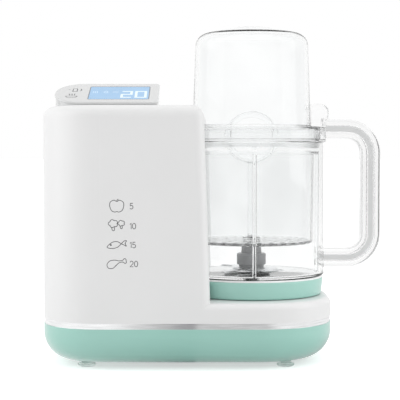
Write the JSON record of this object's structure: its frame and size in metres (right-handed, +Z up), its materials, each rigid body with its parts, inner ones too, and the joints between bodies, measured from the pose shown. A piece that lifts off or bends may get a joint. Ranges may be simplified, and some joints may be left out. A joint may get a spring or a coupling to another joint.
{
  "type": "baby food maker",
  "caption": "Baby food steamer and blender: a clear bowl with swept blades, steam basket, lid and dome stands in the wrap-round recess of a tower with water tank and sloped display panel.",
  "frame": {"origin": "bottom centre of the bounding box, on the plane the feet stand on", "axes": "+X from the tower towards the bowl's handle, -Y to the front with the display, +Z up"},
  "size_m": [0.2712, 0.15, 0.2694],
  "materials": {
    "tray_mint": "satin gloss",
    "chrome_trim": "polished",
    "housing_white": "satin gloss",
    "panel_white": "gloss",
    "foot_rubber": "matte",
    "foot_mint": "matte",
    "lens_clear": "polished",
    "display_blue": "backlit",
    "board_green": "lacquered",
    "tank_clear": "frosted",
    "hose_rubber": "matte",
    "heater_metal": "cast",
    "motor_steel": "plated",
    "bearing_brass": "sintered",
    "seal_rubber": "matte",
    "rotor_iron": "laminated",
    "steel": "brushed",
    "drive_grey": "matte",
    "bowl_clear": "clear",
    "handle_clear": "clear",
    "hub_grey": "satin",
    "basket_clear": "clear",
    "grip_white": "satin"
  },
  "bodies": {
    "base": {"base_tray": "tray_mint", "trim_band": "chrome_trim", "main_housing": "housing_white", "rubber_feet": "foot_mint", "control_pod": "panel_white", "control_fascia": "panel_white", "display_lens": "lens_clear", "display_module": "display_blue", "control_board": "board_green", "water_tank": "tank_clear", "feed_hose": "hose_rubber", "heater_plate": "heater_metal", "boiler": "heater_metal", "steam_tube": "hose_rubber", "steam_port": "seal_rubber", "motor_can": "motor_steel", "motor_bearing_low": "bearing_brass", "motor_bearing_high": "bearing_brass", "motor_mount": "foot_rubber", "bowl_seat": "seal_rubber", "power_board": "board_green", "cord_gland": "foot_rubber", "tank_hinge_pin": "steel"},
    "rotor": {"motor_rotor": "rotor_iron", "motor_shaft": "steel", "drive_dog": "drive_grey"},
    "bowl": {"bowl_jug": "bowl_clear", "bowl_handle": "handle_clear", "bowl_collar": "tray_mint", "bowl_gasket": "seal_rubber", "blade_bush": "drive_grey"},
    "blade": {"blade_hub": "hub_grey", "blade_shaft": "steel", "lower_blade": "steel", "upper_blade": "steel", "driven_socket": "drive_grey"},
    "basket": {"steam_basket": "basket_clear", "basket_floor": "basket_clear", "basket_grip": "grip_white"},
    "lid": {"bowl_lid": "bowl_clear", "lid_seal": "seal_rubber", "lid_lock_tab": "panel_white"},
    "dome": {"steam_dome": "bowl_clear", "dome_crown": "bowl_clear"},
    "tank_lid": {"tank_flap": "housing_white", "tank_gasket": "seal_rubber"}
  },
  "joints": [
    {"name": "motor_spin", "type": "hinge", "parent": "base", "child": "rotor", "pos_m": [0.031, 0, 0.027], "axis": [0, 0, 1], "continuous": true},
    {"name": "bowl_lift", "type": "slide", "parent": "base", "child": "bowl", "axis": [0, 0, 1], "range_m": [0, 0.06]},
    {"name": "blade_spin", "type": "hinge", "parent": "bowl", "child": "blade", "pos_m": [0.031, 0, 0.0715], "axis": [0, 0, 1], "continuous": true},
    {"name": "lid_lift", "type": "slide", "parent": "bowl", "child": "lid", "axis": [0, 0, 1], "range_m": [0, 0.15]},
    {"name": "basket_lift", "type": "slide", "parent": "bowl", "child": "basket", "axis": [0, 0, 1], "range_m": [0, 0.09]},
    {"name": "dome_lift", "type": "slide", "parent": "lid", "child": "dome", "axis": [0, 0, 1], "range_m": [0, 0.08]},
    {"name": "tank_lid_hinge", "type": "hinge", "parent": "base", "child": "tank_lid", "pos_m": [-0.0878, 0.0585, 0.208], "axis": [-1, 0, 0], "range_deg": [0, 105]}
  ],
  "couplings": [
    {"joint": "blade_spin", "follows": "motor_spin", "ratio": 1},
    {"joint": "basket_lift", "follows": "lid_lift", "ratio": 0.6}
  ]
}
